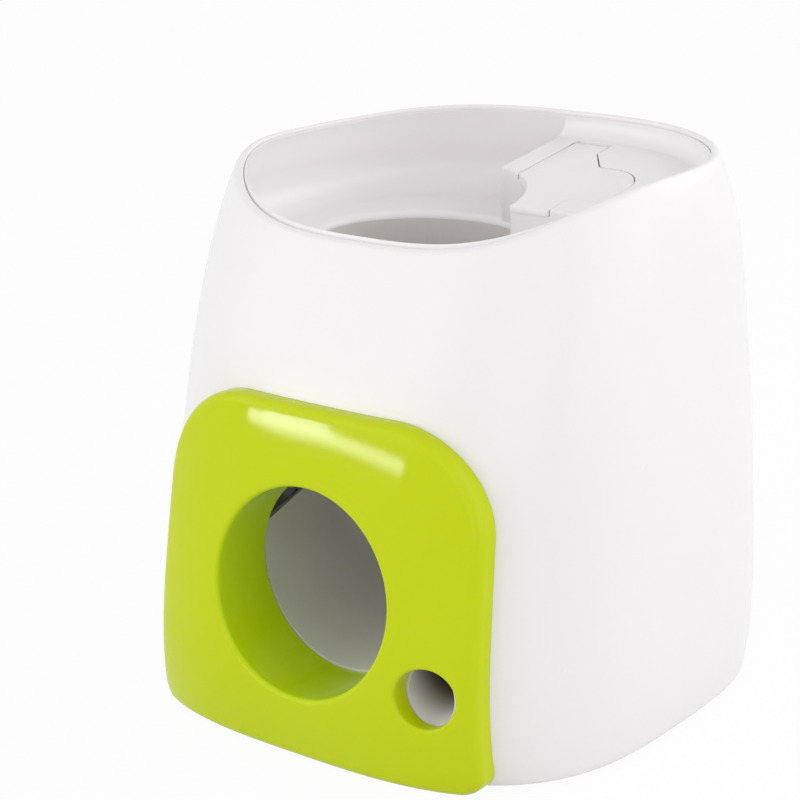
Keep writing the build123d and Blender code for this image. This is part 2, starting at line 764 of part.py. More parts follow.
# The origin is under the middle of the whole part, on the ground
reach_front = body_half_width * max(row[2] for row in body_section_shares) + panel_thick
reach_back = body_half_width * max(row[3] for row in body_section_shares)
to_ground = Pos(0, (reach_front - reach_back) / 2, foot_stand)
os.makedirs("parts", exist_ok=True)
for name, piece in pieces.items():
    export_step(to_ground * piece, f"parts/{name}.step")
    print(name, piece.is_valid, len(piece.solids()), round(piece.volume))
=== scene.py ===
import bpy
import bmesh
import json
import numpy as np
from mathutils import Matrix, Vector

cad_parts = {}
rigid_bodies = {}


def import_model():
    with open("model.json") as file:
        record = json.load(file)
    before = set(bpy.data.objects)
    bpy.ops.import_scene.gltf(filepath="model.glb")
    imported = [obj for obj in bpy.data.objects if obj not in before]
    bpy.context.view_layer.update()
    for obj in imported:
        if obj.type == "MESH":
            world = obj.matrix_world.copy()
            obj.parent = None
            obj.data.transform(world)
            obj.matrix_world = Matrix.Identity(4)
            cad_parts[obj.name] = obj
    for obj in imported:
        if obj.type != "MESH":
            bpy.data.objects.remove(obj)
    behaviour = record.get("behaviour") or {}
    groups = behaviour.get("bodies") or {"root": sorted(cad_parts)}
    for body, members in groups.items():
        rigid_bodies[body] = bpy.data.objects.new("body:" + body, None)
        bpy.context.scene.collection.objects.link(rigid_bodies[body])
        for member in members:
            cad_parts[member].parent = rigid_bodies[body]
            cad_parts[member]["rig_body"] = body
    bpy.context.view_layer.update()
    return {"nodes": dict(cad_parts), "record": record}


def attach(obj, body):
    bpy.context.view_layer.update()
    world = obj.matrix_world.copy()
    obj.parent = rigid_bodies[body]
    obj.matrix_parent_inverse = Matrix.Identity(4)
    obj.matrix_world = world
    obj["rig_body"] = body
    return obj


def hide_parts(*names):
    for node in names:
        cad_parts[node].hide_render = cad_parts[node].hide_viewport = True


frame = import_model()
nodes = frame["nodes"]
print("frame loaded:", len(nodes), "nodes")

# The body: rounded-square rings up the height, each with its own side, front and back reach
body = {
    "height": 0.194,
    "half": 0.092,
    "wall": 0.003,
    "footPlace": 0.056,
    "footStand": 0.0015,
    "powerFoot": 3.1,
    "powerTop": 2.87,
    "levels": [-0.062, 0.0, 0.13, 0.31, 0.515, 0.72, 0.87, 0.98, 1.06],
    "side": [0.970, 1.000, 1.025, 1.018, 1.002, 0.973, 0.938, 0.870, 0.800],
    "front": [0.970, 1.000, 1.023, 0.992, 0.929, 0.829, 0.703, 0.598, 0.510],
    "back": [0.970, 1.000, 1.024, 1.011, 0.979, 0.928, 0.883, 0.814, 0.745],
    "rimPlace": [-1.20, -0.70, -0.50, 0.00, 0.50, 0.80, 1.20],
    "rimLevel": [0.735, 0.870, 0.930, 0.975, 0.983, 1.001, 1.030],
    "rimGuess": 0.95,
}
# Rounds of each search that finds its answer in turns
rounds = {"rim": 60, "outline": 50, "bore": 20, "deck": 20}
# The body's own origin in the row frame, worked out from the rest mount under one foot
restSpot = np.array(frame["record"]["mounts"][0]["pos_m"])
bodyOrigin = restSpot + np.array([-body["footPlace"], body["footPlace"], body["footStand"]])


# A smooth curve through given points: a natural cubic spline, returned as a function of whole arrays
def smoothCurve(places, values):
    x, y = np.array(places), np.array(values)
    gap = np.diff(x)
    count = len(x)
    system = np.eye(count)
    right = np.zeros(count)
    for i in range(1, count - 1):
        system[i, i - 1:i + 2] = gap[i - 1], 2 * (gap[i - 1] + gap[i]), gap[i]
        right[i] = 6 * ((y[i + 1] - y[i]) / gap[i] - (y[i] - y[i - 1]) / gap[i - 1])
    bend = np.linalg.solve(system, right)

    def curve(at):
        k = np.clip(np.searchsorted(x, at) - 1, 0, count - 2)
        a = (x[k + 1] - at) / gap[k]
        b = (at - x[k]) / gap[k]
        lift = ((a ** 3 - a) * bend[k] + (b ** 3 - b) * bend[k + 1]) * gap[k] ** 2 / 6
        return a * y[k] + b * y[k + 1] + lift

    return curve


sideCurve = smoothCurve(body["levels"], body["side"])
frontCurve = smoothCurve(body["levels"], body["front"])
backCurve = smoothCurve(body["levels"], body["back"])
rimCurve = smoothCurve(body["rimPlace"], body["rimLevel"])


# The rings' power p runs evenly from the foot to the top: the lower it is, the rounder the corners
def bodyPower(z):
    return body["powerFoot"] + (body["powerTop"] - body["powerFoot"]) * z / body["height"]


# Ring of the body at angle a and height z, grown sideways: |x/side|^p + |y/reach|^p = 1 in polar form
def bodyRing(a, z, grow):
    level = z / body["height"]
    side = body["half"] * sideCurve(level) + grow
    reach = body["half"] * np.where(np.sin(a) > 0, backCurve(level), frontCurve(level)) + grow
    p = bodyPower(z)
    radius = (np.abs(np.cos(a) / side) ** p + np.abs(np.sin(a) / reach) ** p) ** (-1 / p)
    return radius * np.cos(a), radius * np.sin(a)


# The same ring solved for y on the front: y = -reach (1 - |x/side|^p)^(1/p)
def bodyFront(x, z, grow):
    level = z / body["height"]
    p = bodyPower(z)
    side = body["half"] * sideCurve(level) + grow
    return -(body["half"] * frontCurve(level) + grow) * (1 - np.abs(x / side) ** p) ** (1 / p)


# Height of the rim at angle a: the rim line is a function of y alone, so z and y are found in turns
def rimHeight(a, grow, drop):
    z = np.full_like(a, body["height"] * body["rimGuess"])
    for again in range(rounds["rim"]):
        y = bodyRing(a, z, grow)[1]
        z = 0.5 * z + 0.5 * (body["height"] * rimCurve(y / body["half"]) - drop)
    return z


# Corner indices of the quads of a grid, which may close on itself along its rows or its columns
def gridQuads(rows, cols, closeRows=False, closeCols=False):
    r, c = np.meshgrid(np.arange(rows - (not closeRows)), np.arange(cols - (not closeCols)), indexing="ij")
    nextR, nextC = (r + 1) % rows, (c + 1) % cols
    return np.stack([r * cols + c, r * cols + nextC, nextR * cols + nextC, nextR * cols + c], -1)


# Quads of a profile carried along a path, closed round the profile, with a cap at each end of the path
def barFaces(rows, cols):
    first = [row * cols for row in range(rows)]
    last = [index + cols - 1 for index in first]
    return gridQuads(rows, cols, closeRows=True).reshape(-1, 4).tolist() + [first, last]


# A new object from points in body coordinates, with its place in its mesh
def makeObject(name, points, faces):
    mesh = bpy.data.meshes.new(name)
    mesh.from_pydata(np.asarray(points) + bodyOrigin, [], faces)
    obj = bpy.data.objects.new(name, mesh)
    bpy.context.scene.collection.objects.link(obj)
    return obj


mergeWithin, sliverWithin = 1e-6, 1e-7  # metres


# Merge doubles, turn the faces outwards and shade smooth with the sharp edges kept
def finishMesh(obj, sharpAngle=0.6, outward=True):
    work = bmesh.new()
    work.from_mesh(obj.data)
    bmesh.ops.remove_doubles(work, verts=work.verts, dist=mergeWithin)
    bmesh.ops.dissolve_degenerate(work, edges=work.edges, dist=sliverWithin)
    if outward:
        bmesh.ops.recalc_face_normals(work, faces=work.faces)
    work.to_mesh(obj.data)
    work.free()
    obj.data.polygons.foreach_set("use_smooth", np.ones(len(obj.data.polygons), bool))
    obj.data.set_sharp_from_angle(angle=sharpAngle)
    obj.data.update()
    return obj


# Cut closed pieces out of a closed piece, and keep only the result
def cutAway(obj, cutters):
    for cutter in cutters:
        finishMesh(cutter)
        cut = obj.modifiers.new("cut", "BOOLEAN")
        cut.operation = "DIFFERENCE"
        cut.solver = "EXACT"
        cut.object = cutter
    bpy.context.view_layer.update()
    whole = obj.evaluated_get(bpy.context.evaluated_depsgraph_get())
    result = bpy.data.meshes.new_from_object(whole)
    obj.modifiers.clear()
    obj.data = result
    for cutter in cutters:
        bpy.data.objects.remove(cutter)


# Join closed parts of one moulding into one piece
def joinParts(first, others):
    whole = bmesh.new()
    for part in (first, *others):
        whole.from_mesh(part.data)
    whole.to_mesh(first.data)
    whole.free()
    for part in others:
        bpy.data.objects.remove(part)


# A closed round bar between two points: circle times length, with a cap at each end
def roundBar(name, start, end, radius, sides=96):
    start, end = np.array(start), np.array(end)
    along = (end - start) / np.linalg.norm(end - start)
    steep = 0.9
    across = np.cross(along, [0.0, 0.0, 1.0] if abs(along[2]) < steep else [1.0, 0.0, 0.0])
    across /= np.linalg.norm(across)
    turn = np.linspace(0, 2 * np.pi, sides, endpoint=False)[:, None]
    circle = radius * (np.cos(turn) * across + np.sin(turn) * np.cross(along, across))
    faces = gridQuads(2, sides, closeCols=True).reshape(-1, 4).tolist()
    faces += [list(range(sides)), list(range(sides, 2 * sides))]
    return makeObject(name, np.concatenate([start + circle, end + circle]), faces)


# Materials: moulded plastics, zinc plated steel and rubber, all on object coordinates
finishes = {
    "shell_white": dict(colour=(0.870, 0.852, 0.859), drift=0.003, rough=0.27, roughDrift=0.012,
                        grain=900, bump=0.010, specular=0.36),
    "panel_green": dict(colour=(0.552, 0.656, 0.001), drift=0.008, rough=0.07, roughDrift=0.02,
                        grain=700, bump=0.004, specular=0.15),
    "inner_white": dict(colour=(0.720, 0.700, 0.680), drift=0.03, rough=0.46, roughDrift=0.10,
                        grain=1800, bump=0.06, specular=0.40),
    "drum_grey": dict(colour=(0.520, 0.520, 0.510), drift=0.04, rough=0.42, roughDrift=0.10,
                      grain=1600, bump=0.06, specular=0.40),
    "steel": dict(colour=(0.560, 0.560, 0.570), drift=0.07, rough=0.30, roughDrift=0.14,
                  grain=2400, bump=0.10, specular=0.50, metal=1.0),
    "rubber": dict(colour=(0.030, 0.030, 0.031), drift=0.006, rough=0.72, roughDrift=0.10,
                   grain=2600, bump=0.16, specular=0.30),
}
# Noise behind every finish: low and high are the values between which the broad noise takes effect
noise = {"scale": 9.0, "detail": 10.0, "rough": 0.75, "low": 0.2, "high": 0.8,
         "grainDetail": 2.0, "grainDepth": 0.0002}


# One finish: broad noise drifts the colour and the gloss, fine noise gives the grain as a slight bump
def makeFinish(name, spec):
    material = bpy.data.materials.new(name)
    material.use_nodes = True
    tree = material.node_tree
    shader = tree.nodes["Principled BSDF"]
    place = tree.nodes.new("ShaderNodeTexCoord")
    broad = tree.nodes.new("ShaderNodeTexNoise")
    broad.inputs["Scale"].default_value = noise["scale"]
    broad.inputs["Detail"].default_value = noise["detail"]
    broad.inputs["Roughness"].default_value = noise["rough"]
    tree.links.new(place.outputs["Object"], broad.inputs["Vector"])
    tint = tree.nodes.new("ShaderNodeValToRGB")
    colour = np.array(spec["colour"])
    low = np.clip(colour - spec["drift"], 0, 1)
    high = np.clip(colour + spec["drift"], 0, 1)
    tint.color_ramp.interpolation = "EASE"
    tint.color_ramp.elements[0].position = noise["low"]
    tint.color_ramp.elements[1].position = noise["high"]
    tint.color_ramp.elements[0].color = (*low, 1)
    tint.color_ramp.elements[1].color = (*high, 1)
    tree.links.new(broad.outputs["Fac"], tint.inputs["Fac"])
    tree.links.new(tint.outputs["Color"], shader.inputs["Base Color"])
    gloss = tree.nodes.new("ShaderNodeMapRange")
    gloss.interpolation_type = "SMOOTHSTEP"
    gloss.inputs["From Min"].default_value = noise["low"]
    gloss.inputs["From Max"].default_value = noise["high"]
    gloss.inputs["To Min"].default_value = spec["rough"] - spec["roughDrift"] / 2
    gloss.inputs["To Max"].default_value = spec["rough"] + spec["roughDrift"] / 2
    tree.links.new(broad.outputs["Fac"], gloss.inputs["Value"])
    tree.links.new(gloss.outputs["Result"], shader.inputs["Roughness"])
    fine = tree.nodes.new("ShaderNodeTexNoise")
    fine.inputs["Scale"].default_value = spec["grain"]
    fine.inputs["Detail"].default_value = noise["grainDetail"]
    tree.links.new(place.outputs["Object"], fine.inputs["Vector"])
    bump = tree.nodes.new("ShaderNodeBump")
    bump.inputs["Strength"].default_value = spec["bump"]
    bump.inputs["Distance"].default_value = noise["grainDepth"]
    tree.links.new(fine.outputs["Fac"], bump.inputs["Height"])
    tree.links.new(bump.outputs["Normal"], shader.inputs["Normal"])
    shader.inputs["Metallic"].default_value = spec.get("metal", 0.0)
    shader.inputs["Specular IOR Level"].default_value = spec["specular"]
    return material


finish = {name: makeFinish(name, spec) for name, spec in finishes.items()}
print("finishes made:", ", ".join(finish))


# Painted light and shade: a second colour that comes in with the distance from a centre, along the axes
# that scale keeps
def addPaintedShading(material, paintedShading):
    tree = material.node_tree
    shader = tree.nodes["Principled BSDF"]
    place = tree.nodes.new("ShaderNodeTexCoord")
    shift = tree.nodes.new("ShaderNodeVectorMath")
    shift.operation = "SUBTRACT"
    shift.inputs[1].default_value = paintedShading["centre"]
    flatten = tree.nodes.new("ShaderNodeVectorMath")
    flatten.operation = "MULTIPLY"
    flatten.inputs[1].default_value = paintedShading["scale"]
    length = tree.nodes.new("ShaderNodeVectorMath")
    length.operation = "LENGTH"
    fade = tree.nodes.new("ShaderNodeMapRange")
    fade.interpolation_type = "SMOOTHSTEP"
    fade.inputs["From Min"].default_value = paintedShading["none"]
    fade.inputs["From Max"].default_value = paintedShading["full"]
    mix = tree.nodes.new("ShaderNodeMixRGB")
    mix.inputs["Color2"].default_value = (*paintedShading["colour"], 1)
    tree.links.new(place.outputs["Object"], shift.inputs[0])
    tree.links.new(shift.outputs["Vector"], flatten.inputs[0])
    tree.links.new(flatten.outputs["Vector"], length.inputs[0])
    tree.links.new(length.outputs["Value"], fade.inputs["Value"])
    tree.links.new(fade.outputs["Result"], mix.inputs["Fac"])
    tree.links.new(shader.inputs["Base Color"].links[0].from_socket, mix.inputs["Color1"])
    tree.links.new(mix.outputs["Color"], shader.inputs["Base Color"])


# Give a piece the finish of its slot and the body it rides on, and hide the nodes that it stands for
def dress(obj, slot, rideOn, *stoodFor):
    obj.data.materials.clear()
    obj.data.materials.append(finish[slot])
    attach(obj, rideOn)
    if stoodFor:
        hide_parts(*stoodFor)
    return obj


# The drop hole, the round exit and the slanting chute to the small outlet, shared by several pieces
ballPath = {"exitX": 0.001, "exitZ": 0.0565, "exitR": 0.0352,
            "holeX": -0.016, "holeY": -0.006, "holeR": 0.0355}
# The outlet's path; its last two values are the dark brown painted down the chute as shade, and how far in
# from the chute's end it is full
treatPath = {"x": 0.051, "z": 0.032, "holeR": 0.010, "topY": 0.013, "topZ": 0.0925, "outerR": 0.0105,
             "inset": 0.004, "seat": 0.0002, "socketR": 0.0127,
             "dustColour": (0.080, 0.062, 0.024), "dustDepth": 0.015}
panelThick = 0.0065
treatPath["endY"] = float(bodyFront(treatPath["x"], treatPath["z"], 0.0)) - panelThick + treatPath["inset"]
treatPath["rise"] = (treatPath["topZ"] - treatPath["z"]) / (treatPath["topY"] - treatPath["endY"])

# Outer shell: one grid round the body and round the wall, closed both ways
shell = {"around": 420, "upRows": 84, "rimSteps": 12, "footRound": 0.0009, "footSteps": 4,
         "holeGap": 0.0003, "sleeveR": 0.0377, "cutFarY": -0.13, "cutNearY": -0.06, "cutReach": 0.03}


# Up the outside from foot to rim, over the rim on a half circle as wide as the wall, and down the inside.
# Each row is a height z and the amount that the body's ring grows by there.
def makeShell():
    a = np.linspace(0, 2 * np.pi, shell["around"], endpoint=False)
    wall, foot = body["wall"], shell["footRound"]
    half = wall / 2
    top = rimHeight(a, 0.0, 0.0) - half
    footTurn = np.linspace(0, np.pi / 2, shell["footSteps"], endpoint=False)
    rise = np.linspace(0, 1, shell["upRows"])
    rimTurn = np.linspace(0, np.pi, shell["rimSteps"] + 1)[1:-1]
    rows = []
    for t in footTurn:
        rows.append((np.full_like(a, foot * (1 - np.cos(t))), -foot * (1 - np.sin(t))))
    for s in rise:
        rows.append((foot + s * (top - foot), 0.0))
    for t in rimTurn:
        rows.append((top + half * np.sin(t), -half + half * np.cos(t)))
    for s in rise[::-1]:
        rows.append((s * top, -wall))
    points = []
    for z, grow in rows:
        x, y = bodyRing(a, z, grow)
        points.append(np.stack([x, y, z], -1))
    quads = gridQuads(len(rows), shell["around"], True, True).reshape(-1, 4)
    obj = makeObject("outerShell", np.concatenate(points), quads)
    finishMesh(obj)
    exitX, exitZ = ballPath["exitX"], ballPath["exitZ"]
    exitBar = roundBar("exitCut", (exitX, shell["cutFarY"], exitZ), (exitX, shell["cutNearY"], exitZ),
                       shell["sleeveR"] + shell["holeGap"])
    end = np.array([treatPath["x"], treatPath["endY"], treatPath["z"]])
    step = np.array([0.0, 1.0, treatPath["rise"]]) * shell["cutReach"]
    treatBar = roundBar("treatCut", end - step, end + step, treatPath["socketR"] + shell["holeGap"])
    cutAway(obj, [exitBar, treatBar])
    return finishMesh(obj, outward=False)


outerShell = dress(makeShell(), "shell_white", "housing", "outer_shell")
print("outer shell:", len(outerShell.data.polygons), "faces")

# Front panel: a grid of rays from the exit's centre, closed round the panel's whole thickness
# The panel's last two values are the lighter green painted in the sleeve as light, and how far inside the
# exit's radius it is full
panel = {"halfWidth": 0.0683, "topHalfWidth": 0.064, "footZ": -0.0012, "topZ": 0.1175, "topR": 0.036,
         "footR": 0.007, "edgeR": 0.0026, "seat": 0.0002, "sleeveBackY": -0.072, "sleeveWall": 0.0025,
         "lipR": 0.0018, "treatLipR": 0.0012, "around": 560, "turnFrom": 0.0007, "farthest": 0.2,
         "faceRows": 34, "lipSteps": 5, "edgeSteps": 9, "sleeveRows": 14,
         "windowHalf": 0.30, "windowFrom": 4, "windowRows": 5, "boreRows": 5, "backRows": 3,
         "sleeveColour": (0.540, 0.720, 0.006), "sleeveDepth": 0.0002}


# Signed distance to the panel's outline: sides that lean in a little, one corner radius above, one below.
# u and v are the distances past a corner circle's centre, square to the side and to the top or the foot.
def outlineDistance(x, z):
    high = panel["topZ"] - panel["footZ"]
    lean = np.arctan2(panel["halfWidth"] - panel["topHalfWidth"], high)
    isTop = z > panel["footZ"] + high / 2
    r = np.where(isTop, panel["topR"], panel["footR"])
    u = (np.abs(x) - panel["halfWidth"]) * np.cos(lean) + (z - panel["footZ"]) * np.sin(lean) + r
    v = np.where(isTop, z - panel["topZ"], panel["footZ"] - z) + r
    skew = np.where(isTop, np.sin(lean), -np.sin(lean))
    inCorner = (u > skew * v) & (v > skew * u)
    fromCentre = np.sqrt(np.maximum(u * u + v * v - 2 * skew * u * v, 0)) / np.cos(lean)
    return np.where(inCorner, fromCentre, np.maximum(u, v)) - r


# How far a ray from the exit's centre runs before it is the given inset from the outline, by halving
def outlineReach(t, inset):
    near, far = np.zeros_like(t), np.full_like(t, panel["farthest"])
    for again in range(rounds["outline"]):
        middle = (near + far) / 2
        x = ballPath["exitX"] + middle * np.cos(t)
        z = ballPath["exitZ"] + middle * np.sin(t)
        inside = outlineDistance(x, z) < -inset
        near, far = np.where(inside, middle, near), np.where(inside, far, middle)
    return near


# Each row is a radius along the rays and a depth below the face, which is the body grown by the thickness.
# A row of the sleeve is also carried a share of the way from there to the sleeve's back end.
def makePanel():
    t = np.linspace(0, 2 * np.pi, panel["around"], endpoint=False) + panel["turnFrom"]
    exitR, lip, edge = ballPath["exitR"], panel["lipR"], panel["edgeR"]
    backDepth = panelThick - panel["seat"]
    outerR = exitR + panel["sleeveWall"]
    rows = []

    def addRow(radius, depth, share=0.0):
        x = ballPath["exitX"] + radius * np.cos(t)
        z = ballPath["exitZ"] + radius * np.sin(t)
        front = bodyFront(x, z, panelThick - depth)
        rows.append(np.stack([x, front + share * (panel["sleeveBackY"] - front), z], -1))

    for share in np.linspace(1, 0, panel["sleeveRows"]):
        addRow(exitR, lip, share)
    for bend in np.linspace(0, np.pi / 2, panel["lipSteps"] + 1)[1:]:
        addRow(exitR + lip * (1 - np.cos(bend)), lip * (1 - np.sin(bend)))
    faceStart = len(rows) - 1
    faceEnd = outlineReach(t, edge)
    for share in np.linspace(0, 1, panel["faceRows"])[1:]:
        addRow((exitR + lip) * (1 - share) + faceEnd * share, 0.0)
    for bend in np.linspace(0, np.pi / 2, panel["edgeSteps"] + 1)[1:]:
        addRow(outlineReach(t, edge * (1 - np.sin(bend))), edge * (1 - np.cos(bend)))
    backStart = len(rows)
    outline = outlineReach(t, 0.0)
    for share in np.linspace(0, 1, panel["faceRows"]):
        addRow(outline * (1 - share) + outerR * share, backDepth)
    addRow(outerR, backDepth, 1.0)
    points = np.concatenate(rows)
    count, cols = len(rows), panel["around"]
    quads = gridQuads(count, cols, True, True)

    # A window of cells is left out of the face and of the back, and filled with rings round the outlet
    rightward, upward = treatPath["x"] - ballPath["exitX"], treatPath["z"] - ballPath["exitZ"]
    towards = np.arctan2(upward, rightward) % (2 * np.pi)
    c0 = int(np.argmin(np.abs(t - (towards - panel["windowHalf"]))))
    c1 = int(np.argmin(np.abs(t - (towards + panel["windowHalf"]))))
    r0, r1 = faceStart + panel["windowFrom"], faceStart + panel["faceRows"] - 1
    b0, b1 = backStart + 1, backStart + 1 + (r1 - r0)
    keep = np.ones(quads.shape[:2], bool)
    keep[r0:r1, c0:c1] = False
    keep[b0:b1, c0:c1] = False
    faces = [quads[keep]]

    def windowLoop(first, last):
        across = np.arange(c0, c1)
        down = np.arange(min(first, last), max(first, last))
        if last < first:
            down = down[::-1] + 1
        away = 1 if last > first else -1
        return np.concatenate([first * cols + across, down * cols + c1, last * cols + across[::-1] + 1,
                               (down[::-1] + away) * cols + c0])

    faceLoop, backLoop = windowLoop(r0, r1), windowLoop(b1, b0)
    spot = np.array([treatPath["x"], treatPath["z"]])
    turn = np.arctan2(*(points[faceLoop][:, [2, 0]] - spot[::-1]).T)
    lean = np.hypot(1, treatPath["rise"])
    boreR = treatPath["outerR"] + treatPath["seat"]
    lipT, holeR = panel["treatLipR"], treatPath["holeR"]
    stack = [faceLoop]

    def addRing(x, y, z):
        nonlocal points
        stack.append(np.arange(len(points), len(points) + len(x)))
        points = np.concatenate([points, np.stack([x, y + 0 * x, z], -1)])

    rim = spot + (holeR + lipT) * np.stack([np.cos(turn), np.sin(turn)], -1)
    flat = points[faceLoop][:, [0, 2]]
    for share in np.linspace(0, 1, panel["windowRows"] + 1)[1:]:
        x, z = (flat * (1 - share) + rim * share).T
        addRing(x, bodyFront(x, z, panelThick), z)
    for bend in np.linspace(0, np.pi / 2, panel["lipSteps"])[1:]:
        radius = holeR + lipT * (1 - np.sin(bend))
        x, z = spot[0] + radius * np.cos(turn), spot[1] + radius * np.sin(turn)
        addRing(x, bodyFront(x, z, panelThick - lipT * (1 - np.cos(bend))), z)
    x, z = spot[0] + holeR * np.cos(turn), spot[1] + holeR * np.sin(turn)
    start = points[stack[-1]][:, 1]
    for share in np.linspace(0, 1, panel["boreRows"])[1:]:
        addRing(x, start + share * (treatPath["endY"] - start), z)
    xBore = spot[0] + boreR * np.cos(turn)
    zBore = spot[1] + boreR * lean * np.sin(turn)
    addRing(xBore, treatPath["endY"], zBore)
    yBack = bodyFront(xBore, zBore, panelThick - backDepth)
    for again in range(rounds["bore"]):
        zBack = zBore + treatPath["rise"] * (yBack - treatPath["endY"])
        yBack = bodyFront(xBore, zBack, panelThick - backDepth)
    addRing(xBore, yBack, zBack)
    backFlat = points[backLoop][:, [0, 2]]
    for share in np.linspace(0, 1, panel["backRows"])[1:-1]:
        x, z = (np.stack([xBore, zBack], -1) * (1 - share) + backFlat * share).T
        addRing(x, bodyFront(x, z, panelThick - backDepth), z)
    stack.append(backLoop)
    for one, two in zip(stack, stack[1:]):
        faces.append(np.stack([one, np.roll(one, -1), np.roll(two, -1), two], -1))
    obj = makeObject("frontPanel", points, np.concatenate(faces))
    return finishMesh(obj)


# Painted light: the lime is painted lighter and greener down in the sleeve, inside the exit
addPaintedShading(finish["panel_green"], dict(
    centre=(ballPath["exitX"] + bodyOrigin[0], 0, ballPath["exitZ"] + bodyOrigin[2]), scale=(1, 0, 1),
    none=ballPath["exitR"] + panel["lipR"], full=ballPath["exitR"] - panel["sleeveDepth"],
    colour=panel["sleeveColour"]))
frontPanel = dress(makePanel(), "panel_green", "housing", "front_panel")
print("front panel:", len(frontPanel.data.polygons), "faces")

# Tray: the dish with its drop hole. Deck: raised beside the hole, with the lid's recess. Lid: flush in it.
dish = {"gap": 0.0003, "wall": 0.002, "floorWall": 0.0025, "floorZ": 0.160, "roundR": 0.019,
        "edgeDrop": 0.0014, "tip": 0.0006, "seam": 0.00005, "lipWidth": 0.004, "lipDrop": 0.0023,
        "lipLand": 0.0001, "collarDepth": 0.007, "collarWall": 0.0025, "tubeR": 0.0377,
        "around": 360, "floorRows": 26, "lipSteps": 9, "roundSteps": 14, "wallRows": 16, "edgeSteps": 6}
deck = {"z": 0.1745, "rise": 0.16, "thick": 0.0044, "frontY": -0.0045, "leftX": -0.006, "arcR": 0.0366,
        "skirt": 0.0025, "edgeR": 0.0009, "coveR": 0.0065, "intoWall": 0.0003, "ledge": 0.003,
        "pastWall": 0.006, "lugLength": 0.004, "rooted": 0.0003, "hairline": 0.00004,
        "arcSteps": 48, "wallSteps": 90, "edgeSteps": 5, "coveSteps": 12,
        "searchFrom": -0.3, "searchTo": 2.0, "searchSteps": 2000, "guessY": 0.04,
        "cutAbove": 0.01, "cutBelow": 0.08}
lid = {"thick": 0.0022, "gap": 0.00045, "nose": 0.0006, "noseR": 0.0006, "tabX": 0.036, "tabY": 0.008,
       "rightX": 0.049, "shoulderY": 0.040, "shoulderR": 0.015, "cornerR": 0.004, "tongueX": 0.0045,
       "tongueW": 0.0145, "flare": 0.009, "straight": 0.008, "seat": 0.0002, "hingeY": 0.061,
       "barrelR": 0.0028, "edgeR": 0.0004, "mouthEdge": 0.0035, "mouthX": 0.031,
       "arcSteps": 30, "edgeSteps": 4, "barrelSides": 48}
# How far the dish's inside, its outside and its thin edge lie within the body's ring
innerGrow = -body["wall"] - dish["gap"] - dish["wall"]
outerGrow = -body["wall"] - dish["gap"]
tipGrow = -body["wall"] - dish["seam"]


# The deck's top is a plane that rises towards the back
def deckHeight(y):
    return deck["z"] + deck["rise"] * y


# A round bar on the hinge's axis, which lies one radius under the deck's top, square to its slope
def hingeBar(name, x0, x1):
    y = lid["hingeY"]
    z = deckHeight(y) - lid["barrelR"] / np.cos(np.arctan(deck["rise"]))
    return roundBar(name, (x0, y, z), (x1, y, z), lid["barrelR"], lid["barrelSides"])


# Point of the dish wall at angle a and height z, moved inwards by an inset square to the wall in plan
def wallPoint(a, z, inset, grow):
    x, y = bodyRing(a, z, grow)
    small = 1e-4
    x1, y1 = bodyRing(a + small, z, grow)
    x0, y0 = bodyRing(a - small, z, grow)
    along = np.hypot(x1 - x0, y1 - y0)
    return x - inset * (y1 - y0) / along, y + inset * (x1 - x0) / along


# Height of the dish's edge under the rim
def dishTop(a):
    tipR = dish["tip"] / 2
    return rimHeight(a, tipGrow - tipR, dish["edgeDrop"]) - tipR


# Radius of the round at the foot of the wall: R (1 - exp(-h/R)), so it shrinks where the wall is low
def dishRound(a):
    return dish["roundR"] * (1 - np.exp(-(dishTop(a) - dish["floorZ"]) / dish["roundR"]))


# The wall thins to a narrow edge: its inside moves out along a smooth step from the round to the edge
def dishInner(a, z):
    low = dish["floorZ"] + dishRound(a)
    share = np.clip((z - low) / (dishTop(a) - low), 0, 1)
    return innerGrow + share * share * (3 - 2 * share) * (tipGrow - dish["tip"] - innerGrow)


